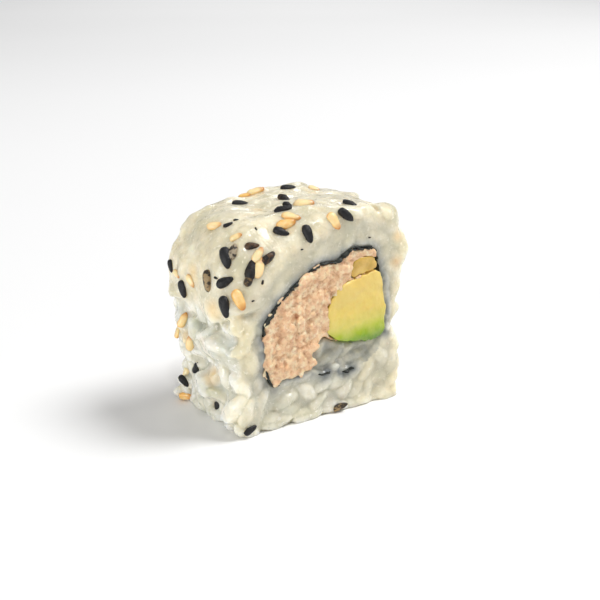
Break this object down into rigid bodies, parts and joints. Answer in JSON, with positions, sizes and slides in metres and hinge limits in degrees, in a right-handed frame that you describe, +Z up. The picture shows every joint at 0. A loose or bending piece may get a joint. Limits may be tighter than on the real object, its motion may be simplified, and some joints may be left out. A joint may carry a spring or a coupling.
{
  "type": "uramaki roll",
  "caption": "Cut piece of inside-out sushi roll: sesame-studded rice round nori, with tuna mash and avocado showing at both cuts.",
  "frame": {"origin": "middle of the underside that the piece rests on", "axes": "+Z up; the roll's length runs along Y, with a cut face at each end, and the one that the picture shows faces -Y; +X to the right of that face"},
  "size_m": [0.0441, 0.0272, 0.0439],
  "materials": {
    "rice": "moist, slightly translucent cooked rice",
    "nori": "dark dried seaweed sheet",
    "tuna": "pale pink-brown mash",
    "avocado": "moist, yellow going green to its lower edge",
    "avocado_slice": "moist, darker yellow",
    "sesame_black": "black sesame seed",
    "sesame_tan": "toasted white sesame seed"
  },
  "bodies": {
    "root": {"rice": "rice", "nori": "nori", "tuna": "tuna", "avocado": "avocado", "avocado_slice": "avocado_slice"}
  },
  "joints": []
}
